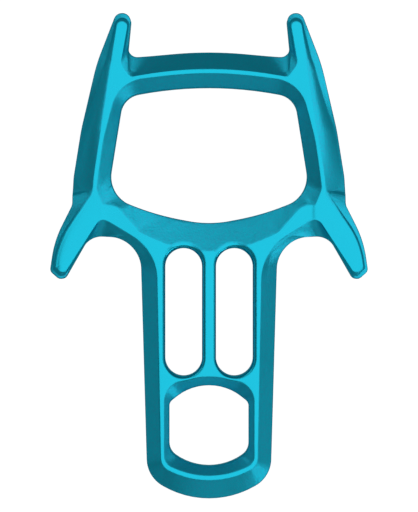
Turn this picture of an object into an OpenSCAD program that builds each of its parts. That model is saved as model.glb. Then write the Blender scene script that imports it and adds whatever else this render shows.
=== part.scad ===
// Rescue figure eight descender with four horns, forged in one piece from aluminium.
// It lies flat: X runs across it, Y towards the upper horns and Z through its thickness.
// Its two faces are alike, and so are its left and right halves.
// Slopes of draft fall from flat lands to every edge, so each edge below has a run:
// the width of its slope, seen from above.

/* [Thickness] */
// Thickness over the flat lands
thickness = 12; // [10:0.5:14]
// Thinnest edge that the slopes leave
edge_t = 3; // [2:0.2:4]
// Steepest draft of the plain slopes, in degrees from level
draft = 40; // [37:1:43]

/* [Friction slots] */
// Width of each slot
slot_w = 12.2; // [11:0.2:13]
// Length of each slot
slot_l = 42.2; // [36:0.2:46]
// Width of the bar between the slots
slot_bar = 4.6; // [4:0.2:6]
// Radius that rounds the edges of the slots
slot_round = 1.5; // [0.8:0.1:1.7]

/* [Carabiner eye] */
// Width of the eye
eye_w = 26.2; // [24:0.2:29]
// Height of the eye at its middle
eye_h = 26.4; // [24:0.2:30]
// How far the top of the eye bows up above its corners
eye_top_bow = 5.6; // [5:0.2:6.6]
// Radius of that bow
eye_top_bow_r = 17; // [16:0.5:18]
// Corner radius at the top of the eye
eye_top_r = 3; // [2:0.2:3.4]
// How far the bottom of the eye bows down below its corners
eye_low_bow = 4.8; // [3.8:0.2:5.4]
// Radius of that bow
eye_low_bow_r = 21.8; // [20:0.2:26]
// Corner radius at the bottom of the eye
eye_low_r = 5; // [3:0.2:6]
// Run of the slope at the sides of the eye
eye_side_run = 1.8; // [1.2:0.1:2.4]
// Run of the slope at the top of the eye
eye_top_run = 3; // [2.2:0.2:3.4]
// Run of the slope at the bottom of the eye
eye_low_run = 3.3; // [2.4:0.1:4]

/* [Shank] */
// Metal between the eye and the slots, at the middle
neck_h = 3; // [2.4:0.2:5]
// Land outside the slots
slot_land = 1.2; // [0.8:0.1:2.4]
// Run of the outer slope beside the slots
slot_flank = 5.5; // [4:0.1:6]
// Land beside the eye
eye_land = 0.9; // [0.6:0.1:2]
// Run of the outer slope beside the eye
eye_flank = 4.6; // [4:0.1:6]
// Land below the eye
end_land = 1.3; // [0.8:0.1:2.4]
// Run of the outer slope below the eye
end_flank = 6.4; // [5:0.1:7.5]
// How far the end of the shank bows down below its corners
end_bow = 7; // [6:0.2:8]
// Radius of that bow
end_bow_r = 30.6; // [28:0.2:36]
// Radius of the corners at the end of the shank
end_r = 10.4; // [8:0.2:11]

/* [Rope ring] */
// Height of the ring's opening at its middle
ring_h = 44.6; // [40:0.2:50]
// Width of the opening at its upper corners
ring_top_w = 56.6; // [52:0.2:60]
// Width of the opening at its lower corners
ring_low_w = 67; // [62:0.2:72]
// How far the top of the opening bows up
ring_top_bow = 3; // [2:0.1:4]
// Radius of that bow
ring_top_bow_r = 172; // [140:1:200]
// Radius of the upper corners
ring_top_r = 7.6; // [4:0.2:8]
// How far the bottom of the opening bows down
ring_low_bow = 9.1; // [8:0.1:10]
// Radius of that bow at its middle
ring_low_bow_r = 37; // [30:1:44]
// Radius of the lower corners
ring_low_r = 10; // [7:0.2:11]
// Metal between the ring and the slots
web_h = 8.2; // [7.6:0.2:11]
// Draft of the web over the slots, in degrees from level
web_draft = 21.5; // [18:0.5:26]

/* [Arms and top bar] */
// Run of the slope from the arms into the ring
arm_inner_run = 4.4; // [3.6:0.1:5.2]
// Width of the land on the arms
arm_land = 0.9; // [0.6:0.1:2]
// Run of the outer slope of the arms
arm_outer_run = 6.9; // [5.6:0.1:7.6]
// Run of the slope from the top bar into the ring
bar_inner_run = 4.7; // [3.8:0.1:5.6]
// Width of the land on the top bar
bar_land = 1.2; // [0.8:0.1:2.4]
// Run of the outer slope of the top bar
bar_outer_run = 5.9; // [4.6:0.1:6.6]

/* [Upper horns] */
// Height of the horn tips above the middle of the top bar
horn_rise = 12.8; // [10:0.1:16]
// Distance between the centres of the round tips
horn_span = 57.2; // [54:0.2:60]
// Radius of the tips
horn_tip_r = 2.85; // [2.4:0.05:3.2]
// Width over the shoulders, where the arms turn into horns
shoulder_w = 74; // [72:0.2:78]
// How far the shoulders lie below the top of the bar
shoulder_drop = 3.8; // [3:0.1:6]
// Width between the roots of the horns
root_w = 53.8; // [52:0.2:55]
// Fillet radius at the roots
root_r = 3.8; // [2:0.2:4]
// How far the top bar bows up between the roots
bar_bow = 1.9; // [1.4:0.1:2.6]
// Radius of that bow
bar_bow_r = 130; // [110:1:160]

/* [Lower horns] */
// Width over the lower horns
spread_w = 104.8; // [102:0.2:108]
// Height of the notches above the tops of the slots
notch_rise = 3.2; // [2.6:0.1:4.4]
// Width between the notch corners at the horns
notch_w = 78.8; // [76:0.2:80]
// How much higher a notch is at its horn than at the shank
notch_lean = 0.8; // [0:0.1:1]
// Radius where a notch meets the shank
notch_shank_r = 10.8; // [8:0.2:11.6]
// Radius where a notch meets its horn
notch_horn_r = 6.8; // [5:0.2:7]
// How far the tips reach below the notches
low_drop = 14.5; // [12:0.1:17]
// Width of the slanted end of a tip
low_end_w = 4.2; // [3.6:0.1:4.8]
// Height of the slanted end of a tip
low_end_h = 3.7; // [3:0.1:4.4]
// Radius of the corners of the tips
low_tip_r = 2; // [1.4:0.1:2.2]
// How far the backs of the horns draw in, from their tips to their bend
back_in = 1.5; // [1:0.1:2.4]
// Height of that bend above the tips
back_rise = 13.8; // [12:0.1:16]
// Height of the foot of the arms above the tips
foot_rise = 25.5; // [24:0.1:27]
// Radius where the arms meet the lower horns
foot_r = 4; // [2:0.2:6]
// Run of the slope at the tips of the lower horns
tip_run = 2.4; // [2:0.1:3]
// How far the edges of the flanges round the horns lie below the lands
flange_drop = 1.7; // [1.4:0.1:2.6]
// Draft of those flanges, in degrees from level
flange_draft = 15; // [10:1:20]

/* [Hidden] */

// Points that round one corner
steps = 6;
// Shortest stretch that a corner's points are spread over
least_reach = 0.4;
// How far the cutters run above the lands
over = 0.2;
// How far the rough stock stands out from the finished edges
stock = 0.7;
// How far the cutters run out from those edges, past the stock
clear = 1.6;

// Radii of the slight bends where the outline changes its lean: a crisp one, one low on the
// arms, one on the backs of the lower horns, and one higher up the arms and at the shoulders
crisp_r = 1;
low_arm_r = 20;
back_r = 35;
arm_r = 60;

// Outer corners of the arms, as heights above their foot: the top of its straight side,
// the height at which that side meets the lean of the arm, and two corners further up
foot_h = 3.6;
foot_meet = 7.3;
arm_low = 9.2;
arm_high = 25.1;

// Height of the middle of the arms above their foot
arm_mid = 21.2;

// Outer edge of the land: its rise and corner radius at the end of the shank, its drop and
// radius at the shank's top, and its place and radius where it leaves for the lower horns
end_crest_rise = 4.4;
end_crest_r = 4.6;
end_crest_bow_r = 29;
notch_crest_drop = 4;
notch_crest_r = 18;
y_crest_in = 4.1;
y_crest_rise = 7.4;
y_crest_r = 3;

// Ribs of the lower horns: how far their blunt end draws in at its two corners and how much
// higher it is there, and the place of their bend
low_rib_in = 0.3;
low_rib_out = 2;
low_rib_end = 1.5;
low_rib_back_in = 2.8;
low_rib_back_rise = 12.8;
low_rib_r = 1.5;

// Outer edge of the land at the foot of the arms, as heights above that foot
foot_crest_low = 3.6;
foot_crest_high = 5.2;
foot_crest_r = 3;

// Ribs of the upper horns: how far they lie in from the shoulders and out and down from the
// roots, how far their tips lie out and down from the horns' own, and their radius there
rib_shoulder_in = 5;
rib_root_out = 2.3;
rib_root_drop = 2.4;
rib_tip_out = 0.1;
rib_tip_drop = 3.2;
rib_tip_r = 1.7;

// Pockets at the roots of those ribs: how far they reach in and down, and their radius
pocket_in = 0.9;
pocket_drop = 6.6;
pocket_r = 3;
bar_crest_r = 130;

// Foot of the dished web above the slots: how far its ends lie out from the slots and how
// high, how far it dips to the slots, and its radii
web_end_out = 8.5;
web_end_rise = 5;
web_dip = 1.2;
web_r = 42.6;
web_end_r = 5;

// Where the web's edge leaves the land of the lower horns and turns up along the arms
web_horn_in = 4.4;
web_horn_rise = 2.3;
web_turn_in = 0.5;
web_turn_rise = 2.8;
arm_crest_low = 5.3;

// Inner edge of the land at the top of the ring: how far it lies out from the corners of
// the opening, how far it bows up, and its radii
ring_crest_out = 1.6;
ring_crest_bow = 2.7;
ring_crest_r = 12;
ring_crest_bow_r = 125;

// Edge of the land round the eye: how far it bows at the bottom and top, and its radii
eye_crest_low_bow = 4;
eye_crest_low_r = 28;
eye_crest_top_bow = 2.8;
eye_crest_top_r = 30;
eye_crest_r = 4;
eye_crest_high_r = 7;

// Where the bottom of the ring bends, as shares of its half width and of its bow, how far
// its sides would cross below its middle, as a share of the bow, and the radius of the bend
ring_bend_out = 0.52;
ring_bend_rise = 0.3;
ring_bend_low = 0.06;
ring_bend_r = 85;

half_t = thickness / 2;
half_edge = edge_t / 2;
slot_r = slot_w / 2;
slot_x = slot_bar / 2 + slot_r;
slot_out_x = slot_x + slot_r;

// Heights above the end of the shank
eye_low_y = end_flank + end_land + eye_low_run;
eye_top_y = eye_low_y + eye_h;
slot_low_y = eye_top_y + neck_h;
slot_top_y = slot_low_y + slot_l;
ring_low_y = slot_top_y + web_h;
ring_top_y = ring_low_y + ring_h;
bar_top_y = ring_top_y + bar_inner_run + bar_land + bar_outer_run;
horn_top_y = bar_top_y + horn_rise;

// Half widths of the shank
eye_crest_in_x = eye_w / 2 + eye_side_run;
eye_crest_x = eye_crest_in_x + eye_land;
end_x = eye_crest_x + eye_flank;
shank_crest_x = slot_out_x + slot_round + slot_land;
shank_x = shank_crest_x + slot_flank;

// Unit vector along v
function unit(v) = v / norm(v);

// Value at share s of the way from a to b
function mix(a, b, s) = a + (b - a) * s;

// Largest radius that still fits a bow of half width c and height h
function bow_limit(c, h, r) = min(r, 0.98 * (c * c + h * h) / (2 * h));

// Slope, in degrees, at which the sides of such a bow run into its corners
function bow_slope(c, h, r) = asin(r / norm([c, r - h])) - atan2(r - h, c);

// Corner on the axis that makes a bow once it is rounded: side is 1 for a bow
// that goes up from corners at height y, and -1 for one that goes down
function bow_corner(c, y, h, r, side) =
    let (fit = bow_limit(c, h, r))
    [0, y + side * c * tan(bow_slope(c, h, fit)), fit];

// Vector v turned by an angle in degrees
function turned(v, angle) =
    [v.x * cos(angle) - v.y * sin(angle), v.x * sin(angle) + v.y * cos(angle)];

// The n corners that replace corner b between a and c, on the same rounding
function split_corner(a, b, c, n) =
    let (p = [b.x, b.y],
         before = unit(p - [a.x, a.y]),
         after = unit([c.x, c.y] - p),
         turn = atan2(before.x * after.y - before.y * after.x, before * after),
         inward = turned(before, turn > 0 ? 90 : -90),
         centre = p - before * b[2] * tan(abs(turn) / 2) + inward * b[2])
    [for (i = [0 : n - 1])
        let (q = centre - turned(inward, turn * (i + 0.5) / n) * b[2] / cos(turn / n / 2))
        [q.x, q.y, b[2]]];

// Direction, in degrees, of the line from p that touches a circle, on one side of it
function touch_angle(p, centre, r, side) =
    let (d = centre - p) atan2(d.y, d.x) + side * asin(r / norm(d));

// Corners of a round tip that points up, between the lines that touch it from
// two other corners, one on each side
function round_tip(right, left, centre, r) =
    let (top = centre.y + r,
         right_angle = touch_angle([right.x, right.y], centre, r, -1),
         left_angle = touch_angle([left.x, left.y], centre, r, 1))
    [[right.x + (top - right.y) / tan(right_angle), top, r],
     [left.x + (top - left.y) / tan(left_angle), top, r]];

// Point at share s of the circular arc from a to c, whose tangents meet at b
// and whose half turn has the cosine w
function arc_point(a, b, c, w, s) =
    let (ka = (1 - s) * (1 - s), kb = 2 * w * s * (1 - s), kc = s * s)
    (a * ka + b * kb + c * kc) / (ka + kb + kc);

// Points of a closed outline from its corners, each given as [x, y, radius].
// Neighbouring roundings share the side between them where it is too short.
function rail(corners) =
    let (n = len(corners),
         p = [for (c = corners) [c.x, c.y]],
         side = [for (i = [0 : n - 1]) p[(i + 1) % n] - p[i]],
         dir = [for (s = side) unit(s)],
         half_turn = [for (i = [0 : n - 1]) acos(min(1, dir[(i + n - 1) % n] * dir[i])) / 2],
         want = [for (i = [0 : n - 1]) max(corners[i][2] * tan(half_turn[i]), least_reach)],
         room = [for (i = [0 : n - 1]) 0.98 * norm(side[i]) / (want[i] + want[(i + 1) % n])],
         reach = [for (i = [0 : n - 1]) want[i] * min(1, room[i], room[(i + n - 1) % n])])
    [for (i = [0 : n - 1], k = [0 : steps])
        arc_point(p[i] - dir[(i + n - 1) % n] * reach[i], p[i], p[i] + dir[i] * reach[i],
                  cos(half_turn[i]), k / steps)];

// Corners of a whole loop from those of its right half, first and last on the axis
function both_sides(half) =
    concat(half, [for (i = [len(half) - 2 : -1 : 1]) [-half[i].x, half[i].y, half[i][2]]]);

// Place of each point of a rail: the number of its corner, from the first on the axis, less a
// quarter where that corner's rounding begins and more a quarter where it ends
function places(half) =
    let (n = len(half), swing = [for (k = [0 : steps]) (k / steps - 0.5) / 2])
    concat([for (i = [0 : n - 1], s = swing) i + s], [for (i = [n - 2 : -1 : 1], s = swing) i - s]);

// Unit vectors that point out of a loop, one for each of its points
function outward(loop) =
    let (n = len(loop))
    [for (i = [0 : n - 1]) let (d = unit(loop[(i + 1) % n] - loop[(i + n - 1) % n])) [d.y, -d.x]];

// Sides of the ring's opening, and what follows them, at height y
ring_top_corner = [ring_top_w / 2, ring_top_y - ring_top_bow, ring_top_r];
ring_low_corner = [ring_low_w / 2, ring_low_y + ring_low_bow, ring_low_r];
function ring_side(y) =
    mix(ring_low_corner.x, ring_top_corner.x,
        (y - ring_low_corner.y) / (ring_top_corner.y - ring_low_corner.y));
function arm_crest_in(y) = ring_side(y) + arm_inner_run;
function arm_crest_out(y) = arm_crest_in(y) + arm_land;
function arm_outline(y) = arm_crest_out(y) + arm_outer_run;

// Outline, from the middle of the shank's end, up the right side, to the top bar
notch_y = slot_top_y + notch_rise;
low_tip_y = notch_y - low_drop;
spread_x = spread_w / 2;
foot_y = low_tip_y + foot_rise;
foot_x = arm_outline(foot_y + foot_meet);
end_corner = [end_x, end_bow, end_r];
notch_corner = [shank_x, notch_y, notch_shank_r];
notch_horn_corner = [notch_w / 2, notch_y + notch_lean, notch_horn_r];
notch_pair = split_corner(end_corner, notch_corner, notch_horn_corner, 2);
shoulder = [shoulder_w / 2, bar_top_y - shoulder_drop, arm_r];
root = [root_w / 2, bar_top_y - bar_bow, root_r];
horn_tip = round_tip(shoulder, root, [horn_span / 2, horn_top_y - horn_tip_r], horn_tip_r);
outline_half = [
    bow_corner(end_x, end_bow, end_bow, end_bow_r, -1),
    end_corner,
    notch_pair[0],
    notch_pair[1],
    notch_horn_corner,
    [spread_x - low_end_w, low_tip_y, low_tip_r],
    [spread_x, low_tip_y + low_end_h, low_tip_r],
    [spread_x - back_in, low_tip_y + back_rise, back_r],
    [foot_x, foot_y, foot_r],
    [foot_x, foot_y + foot_h, crisp_r],
    [arm_outline(foot_y + arm_low), foot_y + arm_low, low_arm_r],
    [arm_outline(foot_y + arm_high), foot_y + arm_high, arm_r],
    shoulder,
    horn_tip[0],
    horn_tip[1],
    [mix(horn_tip[1].x, root.x, 0.74), mix(horn_tip[1].y, root.y, 0.74), crisp_r],
    root,
    bow_corner(root.x, root.y, bar_bow, bar_bow_r, 1)
];

// Outer edge of the land, corner for corner with the outline
end_crest = [eye_crest_x, end_flank + end_crest_rise, end_crest_r];
notch_crest = [shank_crest_x, notch_y - notch_crest_drop, notch_crest_r];
y_crest = [notch_w / 2 - y_crest_in, notch_y + y_crest_rise, y_crest_r];
notch_crest_pair = split_corner(end_crest, notch_crest, y_crest, 2);
shoulder_crest = [shoulder.x - rib_shoulder_in, shoulder.y, arm_r];
pocket = [root.x + rib_root_out, root.y - rib_root_drop, pocket_r];
pocket_end = [root.x - pocket_in, root.y - pocket_drop, pocket_r / 2];
rib_tip = round_tip(shoulder_crest, pocket,
                    [horn_span / 2 + rib_tip_out, horn_top_y - rib_tip_drop - rib_tip_r], rib_tip_r);
crest_half = [
    bow_corner(end_crest.x, end_crest.y, end_crest_rise, end_crest_bow_r, -1),
    end_crest,
    notch_crest_pair[0],
    notch_crest_pair[1],
    y_crest,
    [spread_x - low_end_w - low_rib_in, low_tip_y + tip_run, low_rib_r],
    [spread_x - low_rib_out, low_tip_y + low_end_h + low_rib_end, low_rib_r],
    [spread_x - low_rib_back_in, low_tip_y + low_rib_back_rise, back_r],
    [arm_crest_out(foot_y + foot_meet), foot_y + foot_crest_low, foot_crest_r],
    [arm_crest_out(foot_y + foot_meet), foot_y + foot_crest_high, crisp_r],
    [arm_crest_out(foot_y + arm_low), foot_y + arm_low, low_arm_r],
    [arm_crest_out(foot_y + arm_high), foot_y + arm_high, arm_r],
    shoulder_crest,
    rib_tip[0],
    rib_tip[1],
    pocket,
    pocket_end,
    bow_corner(pocket_end.x, pocket_end.y, bar_top_y - bar_outer_run - pocket_end.y, bar_crest_r, 1)
];

// How much of a flange there is at a place along the outline: 0 where one plain slope rises
// to the land, and 1 where a gentle flange with a high edge meets a steep rib
flange_at = [[1.8, 0], [2.25, 0.5], [2.75, 0.5], [3.2, 0.9], [3.3, 0.9], [3.8, 0], [4.05, 0],
             [4.3, 0.9], [5, 1], [8.3, 1], [8.75, 0.7], [9.2, 0], [11.3, 0], [11.45, 0.5],
             [11.6, 0.8], [12.5, 0.8], [13, 1], [15, 1], [15.75, 0.6], [15.85, 0.6],
             [15.95, 0.9], [16.12, 0.9], [16.25, 0]];

// Width of that flange, as a share of the slope's run
flange_w_at = [[1.8, 0.5], [2.25, 0.68], [2.75, 0.68], [3.2, 0.78], [4, 0.6], [5, 0.5], [6, 0.6],
               [7, 0.64], [8, 0.76], [9, 0.76], [9.5, 0.1], [11, 0.1], [11.3, 0.2], [11.45, 0.34],
               [11.55, 0.42], [11.75, 0.5], [12.5, 0.56], [13, 0.66], [14, 0.6], [15, 0.5],
               [15.8, 0.4], [15.95, 0.8], [16.1, 0.8]];

// How far the slope above the flange bulges up there: 0 is straight, and 1 is level at the land
bulge_at = [[4.3, 0], [5, 0.3], [8, 0.3], [9.5, 0], [10, 0.15], [10.4, 0.3], [10.75, 0.75],
            [11.25, 0.9], [11.6, 0.9], [12.5, 0.7], [13, 0.6], [14, 0.6], [15, 0]];

// How much of the web's gentle draft there is at a place along the ring
web_at = [[2.75, 1], [3.25, 0.6], [3.75, 0.6], [4.25, 0]];

// Opening of the rope ring, from the middle of its bottom, up the right side
ring_bend = [ring_low_corner.x * ring_bend_out, ring_low_y + ring_low_bow * ring_bend_rise, ring_bend_r];
arm_mid_y = foot_y + arm_mid;
ring_half = [
    [0, ring_low_y - ring_low_bow * ring_bend_low, ring_low_bow_r],
    ring_bend,
    each split_corner(ring_bend, ring_low_corner, ring_top_corner, 3),
    [ring_side(arm_mid_y), arm_mid_y, crisp_r],
    ring_top_corner,
    bow_corner(ring_top_corner.x, ring_top_corner.y, ring_top_bow, ring_top_bow_r, 1)
];

// Inner edge of the land round the ring, corner for corner with the opening.
// Its lower stretch is the foot of the dished web that runs down between the slots.
web_corner = [slot_out_x + web_end_out, slot_top_y + web_end_rise, web_end_r];
crest_top_y = ring_top_y + bar_inner_run;
crest_top_corner = [ring_top_corner.x + ring_crest_out, crest_top_y - ring_crest_bow, ring_crest_r];
ring_crest_half = [
    bow_corner(web_corner.x, web_corner.y, web_end_rise + web_dip, web_r, -1),
    web_corner,
    [y_crest.x - web_horn_in, y_crest.y + web_horn_rise, web_end_r],
    [y_crest.x - web_turn_in, y_crest.y + web_turn_rise, crisp_r],
    [arm_crest_in(foot_y + foot_meet), foot_y + arm_crest_low, web_end_r],
    [arm_crest_in(arm_mid_y), arm_mid_y, arm_r],
    crest_top_corner,
    bow_corner(crest_top_corner.x, crest_top_corner.y, ring_crest_bow, ring_crest_bow_r, 1)
];

// Opening of the carabiner eye, and the land's edge round it
eye_low_corner = [eye_w / 2, eye_low_y + eye_low_bow, eye_low_r];
eye_top_corner = [eye_w / 2, eye_top_y - eye_top_bow, eye_top_r];
eye_half = [
    bow_corner(eye_low_corner.x, eye_low_corner.y, eye_low_bow, eye_low_bow_r, -1),
    eye_low_corner,
    eye_top_corner,
    bow_corner(eye_top_corner.x, eye_top_corner.y, eye_top_bow, eye_top_bow_r, 1)
];
eye_crest_low_y = eye_low_y - eye_low_run;
eye_crest_top_y = eye_top_y + eye_top_run;
eye_crest_half = [
    bow_corner(eye_crest_in_x, eye_crest_low_y + eye_crest_low_bow,
               eye_crest_low_bow, eye_crest_low_r, -1),
    [eye_crest_in_x, eye_crest_low_y + eye_crest_low_bow, eye_crest_r],
    [eye_crest_in_x, eye_crest_top_y - eye_crest_top_bow, eye_crest_high_r],
    bow_corner(eye_crest_in_x, eye_crest_top_y - eye_crest_top_bow,
               eye_crest_top_bow, eye_crest_top_r, 1)
];

// Half thickness that a slope leaves at its edge, from its run: a short slope keeps to the
// steepest draft and leaves a tall edge, and a long one is gentler and stops at the thinnest.
// Where the edge is held high, it lies the given drop below the land.
function edge_height(run, drop, held) =
    mix(max(half_edge, half_t - run * tan(draft)), half_t - drop, held);

// Section of a slope cutter at one point of an edge, from its upper outer corner round to the
// lower one, with a flange of share w of its run where flange is 1, and a plain slope where
// it is 0, and with a middle point above the knee that stands out by the bulge
function cutter_section(edge, crest, flange, w, bulge, out) =
    let (run = norm(crest - edge),
         edge_z = edge_height(run, flange_drop, flange),
         knee = mix(edge, crest, w),
         flange_z = min(edge_z + w * run * tan(flange_draft), half_t - 0.2 * flange_drop),
         knee_z = mix(mix(edge_z, half_t, w), flange_z, flange),
         middle = mix(knee, crest, 0.5),
         middle_z = mix(half_t, knee_z, 0.5 - 0.25 * bulge),
         past = crest + (crest - middle) * over / (half_t - middle_z),
         wall = edge + out * clear,
         top = half_t + over)
    [[wall.x, wall.y, top], [past.x, past.y, top], [middle.x, middle.y, middle_z],
     [knee.x, knee.y, knee_z], [edge.x, edge.y, edge_z], [edge.x, edge.y, -edge_z],
     [knee.x, knee.y, -knee_z], [middle.x, middle.y, -middle_z], [past.x, past.y, -top],
     [wall.x, wall.y, -top]];

// Section with one straight slope, whose edge is held at the draft of the web
function straight_section(edge, crest, held, out) =
    let (run = norm(crest - edge),
         edge_z = edge_height(run, run * tan(web_draft), held),
         past = crest + (crest - edge) * over / (half_t - edge_z),
         wall = edge + out * clear,
         top = half_t + over)
    [[wall.x, wall.y, top], [past.x, past.y, top], [edge.x, edge.y, edge_z],
     [edge.x, edge.y, -edge_z], [past.x, past.y, -top], [wall.x, wall.y, -top]];

// Closed tube through sections of equal length that follow a loop
module tube(sections, turn_faces) {
    n = len(sections);
    m = len(sections[0]);
    faces = [for (i = [0 : n - 1], j = [0 : m - 1])
        let (a = i * m + j,
             b = i * m + (j + 1) % m,
             c = (i + 1) % n * m + (j + 1) % m,
             d = (i + 1) % n * m + j)
        each turn_faces ? [[a, c, b], [a, d, c]] : [[a, b, c], [a, c, d]]];
    polyhedron([for (s = sections) each s], faces);
}

// Stock of full thickness inside a loop of edge points moved out by a margin
module slab(edge, margin) {
    out = outward(edge);
    translate([0, 0, -half_t - (margin < 0 ? over : 0)])
        linear_extrude(thickness + (margin < 0 ? 2 * over : 0))
            polygon([for (i = [0 : len(edge) - 1]) edge[i] + out[i] * margin]);
}

// Cuts the slopes round the outside
module outer_slopes() {
    edge = rail(both_sides(outline_half));
    crest = rail(both_sides(crest_half));
    out = outward(edge);
    place = places(outline_half);
    tube([for (i = [0 : len(edge) - 1])
              cutter_section(edge[i], crest[i], lookup(place[i], flange_at),
                             lookup(place[i], flange_w_at), lookup(place[i], bulge_at),
                             out[i])], false);
}

// Cuts an opening with its slopes, whose edge is held high where the table says so
module sloped_opening(half, crest_half, held_at) {
    edge = rail(both_sides(half));
    crest = rail(both_sides(crest_half));
    out = outward(edge);
    place = places(half);
    slab(edge, -stock);
    tube([for (i = [0 : len(edge) - 1])
              straight_section(edge[i], crest[i], lookup(place[i], held_at), -out[i])], true);
}

// Half of a slot's cross section, with its rounded edges
module slot_section() {
    difference() {
        square([slot_r + slot_round, half_t + over]);
        translate([slot_r, -over])
            square([slot_round + over, half_t - slot_round + over]);
        translate([slot_r + slot_round, half_t - slot_round])
            circle(slot_round, $fn = 48);
    }
}

// Friction slot with round ends and rounded edges
module slot(x) {
    for (face = [0, 1])
        mirror([0, 0, face])
            translate([x, 0, 0]) {
                for (y = [slot_low_y + slot_r, slot_top_y - slot_r])
                    translate([0, y, 0])
                        rotate_extrude($fn = 96) slot_section();
                for (side = [0, 1])
                    mirror([side, 0, 0])
                        translate([0, slot_top_y - slot_r, 0])
                            rotate([90, 0, 0])
                                linear_extrude(slot_l - slot_w) slot_section();
            }
}

// The whole forging
module forged_body() {
    color([0.13, 0.77, 0.88])
        translate([0, -horn_top_y / 2, half_t])
            difference() {
                slab(rail(both_sides(outline_half)), stock);
                outer_slopes();
                sloped_opening(ring_half, ring_crest_half, web_at);
                sloped_opening(eye_half, eye_crest_half, [[0, 0]]);
                for (side = [-1, 1]) slot(side * slot_x);
            }
}

forged_body();
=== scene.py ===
"""Dresses the figure eight descender: one smooth anodised forging on a white studio floor."""
import math
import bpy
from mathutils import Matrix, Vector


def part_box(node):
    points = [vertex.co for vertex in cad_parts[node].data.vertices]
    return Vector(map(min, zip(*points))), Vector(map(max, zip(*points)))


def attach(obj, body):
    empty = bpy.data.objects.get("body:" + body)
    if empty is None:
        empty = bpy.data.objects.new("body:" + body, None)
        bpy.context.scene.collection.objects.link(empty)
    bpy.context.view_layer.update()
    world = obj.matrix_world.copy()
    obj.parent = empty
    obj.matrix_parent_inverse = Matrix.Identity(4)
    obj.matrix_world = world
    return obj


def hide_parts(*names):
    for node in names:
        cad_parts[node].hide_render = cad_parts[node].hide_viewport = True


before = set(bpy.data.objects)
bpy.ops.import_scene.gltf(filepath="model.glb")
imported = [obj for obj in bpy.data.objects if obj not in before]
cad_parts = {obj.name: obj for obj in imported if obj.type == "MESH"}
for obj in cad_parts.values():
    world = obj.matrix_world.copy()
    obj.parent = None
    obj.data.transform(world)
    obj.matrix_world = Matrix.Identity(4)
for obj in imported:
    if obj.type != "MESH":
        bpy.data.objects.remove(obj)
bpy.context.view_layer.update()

from types import SimpleNamespace

import bpy
import numpy as np
from bpy.props import FloatProperty, FloatVectorProperty, IntProperty, PointerProperty
from mathutils import Vector
from mathutils.geometry import delaunay_2d_cdt

bl_info = {
    "name": "Figure Eight Descender",
    "version": (1, 0, 0),
    "blender": (4, 5, 0),
    "location": "View3D > Sidebar > Descender",
    "description": "Forged and anodised figure eight descender on a studio floor",
    "category": "Add Mesh",
}

MM = 0.001
low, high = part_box("forged_body")


def length(name, description, default):
    """A size that a user would change, given in millimetres and kept in metres."""
    return FloatProperty(name=name, description=description, default=default * MM,
                         min=0.0, precision=4, unit="LENGTH")


def number(name, description, default, most=10.0):
    """A plain number that a user would change."""
    return FloatProperty(name=name, description=description, default=default, min=0.0, max=most)


def draft_angle(name, description, degrees):
    """An angle that a user would change, given in degrees and kept in radians."""
    return FloatProperty(name=name, description=description, default=math.radians(degrees),
                         min=0.0, subtype="ANGLE")


def repeats(name, description, default):
    """How many times something is done."""
    return IntProperty(name=name, description=description, default=default, min=0)


def colour(name, description, default):
    """A colour in linear light."""
    return FloatVectorProperty(name=name, description=description, default=default,
                               size=3, subtype="COLOR", min=0.0, max=1.0)


class ForgingSizes(bpy.types.PropertyGroup):
    """Sizes of the forging, as in its construction."""

    thickness: length("Thickness", "Thickness over the flat lands", (high.z - low.z) / MM)
    edge_t: length("Edge", "Thinnest edge that the slopes leave", 3)
    draft: draft_angle("Draft", "Steepest draft of the plain slopes", 40)
    slot_w: length("Slot width", "Width of each friction slot", 12.2)
    slot_l: length("Slot length", "Length of each friction slot", 42.2)
    slot_bar: length("Slot bar", "Width of the bar between the slots", 4.6)
    slot_round: length("Slot rounding", "Radius that rounds the edges of the slots", 1.5)
    top_round: length("Top rounding", "The same for their upper ends, at the web", 2.4)
    slot_land: length("Slot land", "Land outside the slots", 1.2)
    neck_h: length("Neck", "Metal between the eye and the slots", 3)
    eye_w: length("Eye width", "Width of the carabiner eye", 26.2)
    eye_h: length("Eye height", "Height of the carabiner eye at its middle", 26.4)
    ring_h: length("Ring height", "Height of the rope ring's opening", 44.6)
    ring_top_w: length("Ring top", "Width of the ring's opening at its upper corners", 56.6)
    ring_low_w: length("Ring bottom", "Width of the ring's opening at its lower corners", 67)
    web_h: length("Web", "Metal between the ring and the slots", 8.2)
    web_draft: draft_angle("Web draft", "Draft of the web over the slots", 21.5)
    spread_w: length("Lower spread", "Width over the lower horns", 104.8)
    horn_span: length("Upper span", "Distance between the upper horns' tips", 57.2)
    shoulder_w: length("Shoulders", "Width where the arms turn into horns", 74)
    flange_drop: length("Flange drop", "How far the flanges' edges lie below the lands", 1.7)
    flange_draft: draft_angle("Flange draft", "Draft of the horns' flanges", 15)
    edge_round: length("Edge rounding", "How far in the thin edges are rounded", 0.3)
    land_round: length("Land rounding", "How far the lands' edges blend to each side", 0.33)
    rib_round: length("Rib rounding", "The same for the ribs' edges", 0.7)
    rib_fillet: length("Rib fillet", "How far the fillets under the ribs reach", 0.3)
    seam_drop: length("Seam drop", "How much lower the land is at the lower horns' seam", 0.3)
    crown_drop: length("Crown drop", "How far the lower horns' lands fall at their outer edge", 0.3)
    crown_reach: length("Crown reach", "How far in from that edge they begin to fall", 3)
    spacing: length("Spacing", "Distance between points along the edges", 0.6)
    evening: repeats("Evening", "Times that the outer slopes are evened out along the edge", 16)
    ring_evening: repeats("Ring evening", "The same for the slope into the ring", 90)
    eye_evening: repeats("Eye evening", "The same for the slope into the eye", 10)


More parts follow.
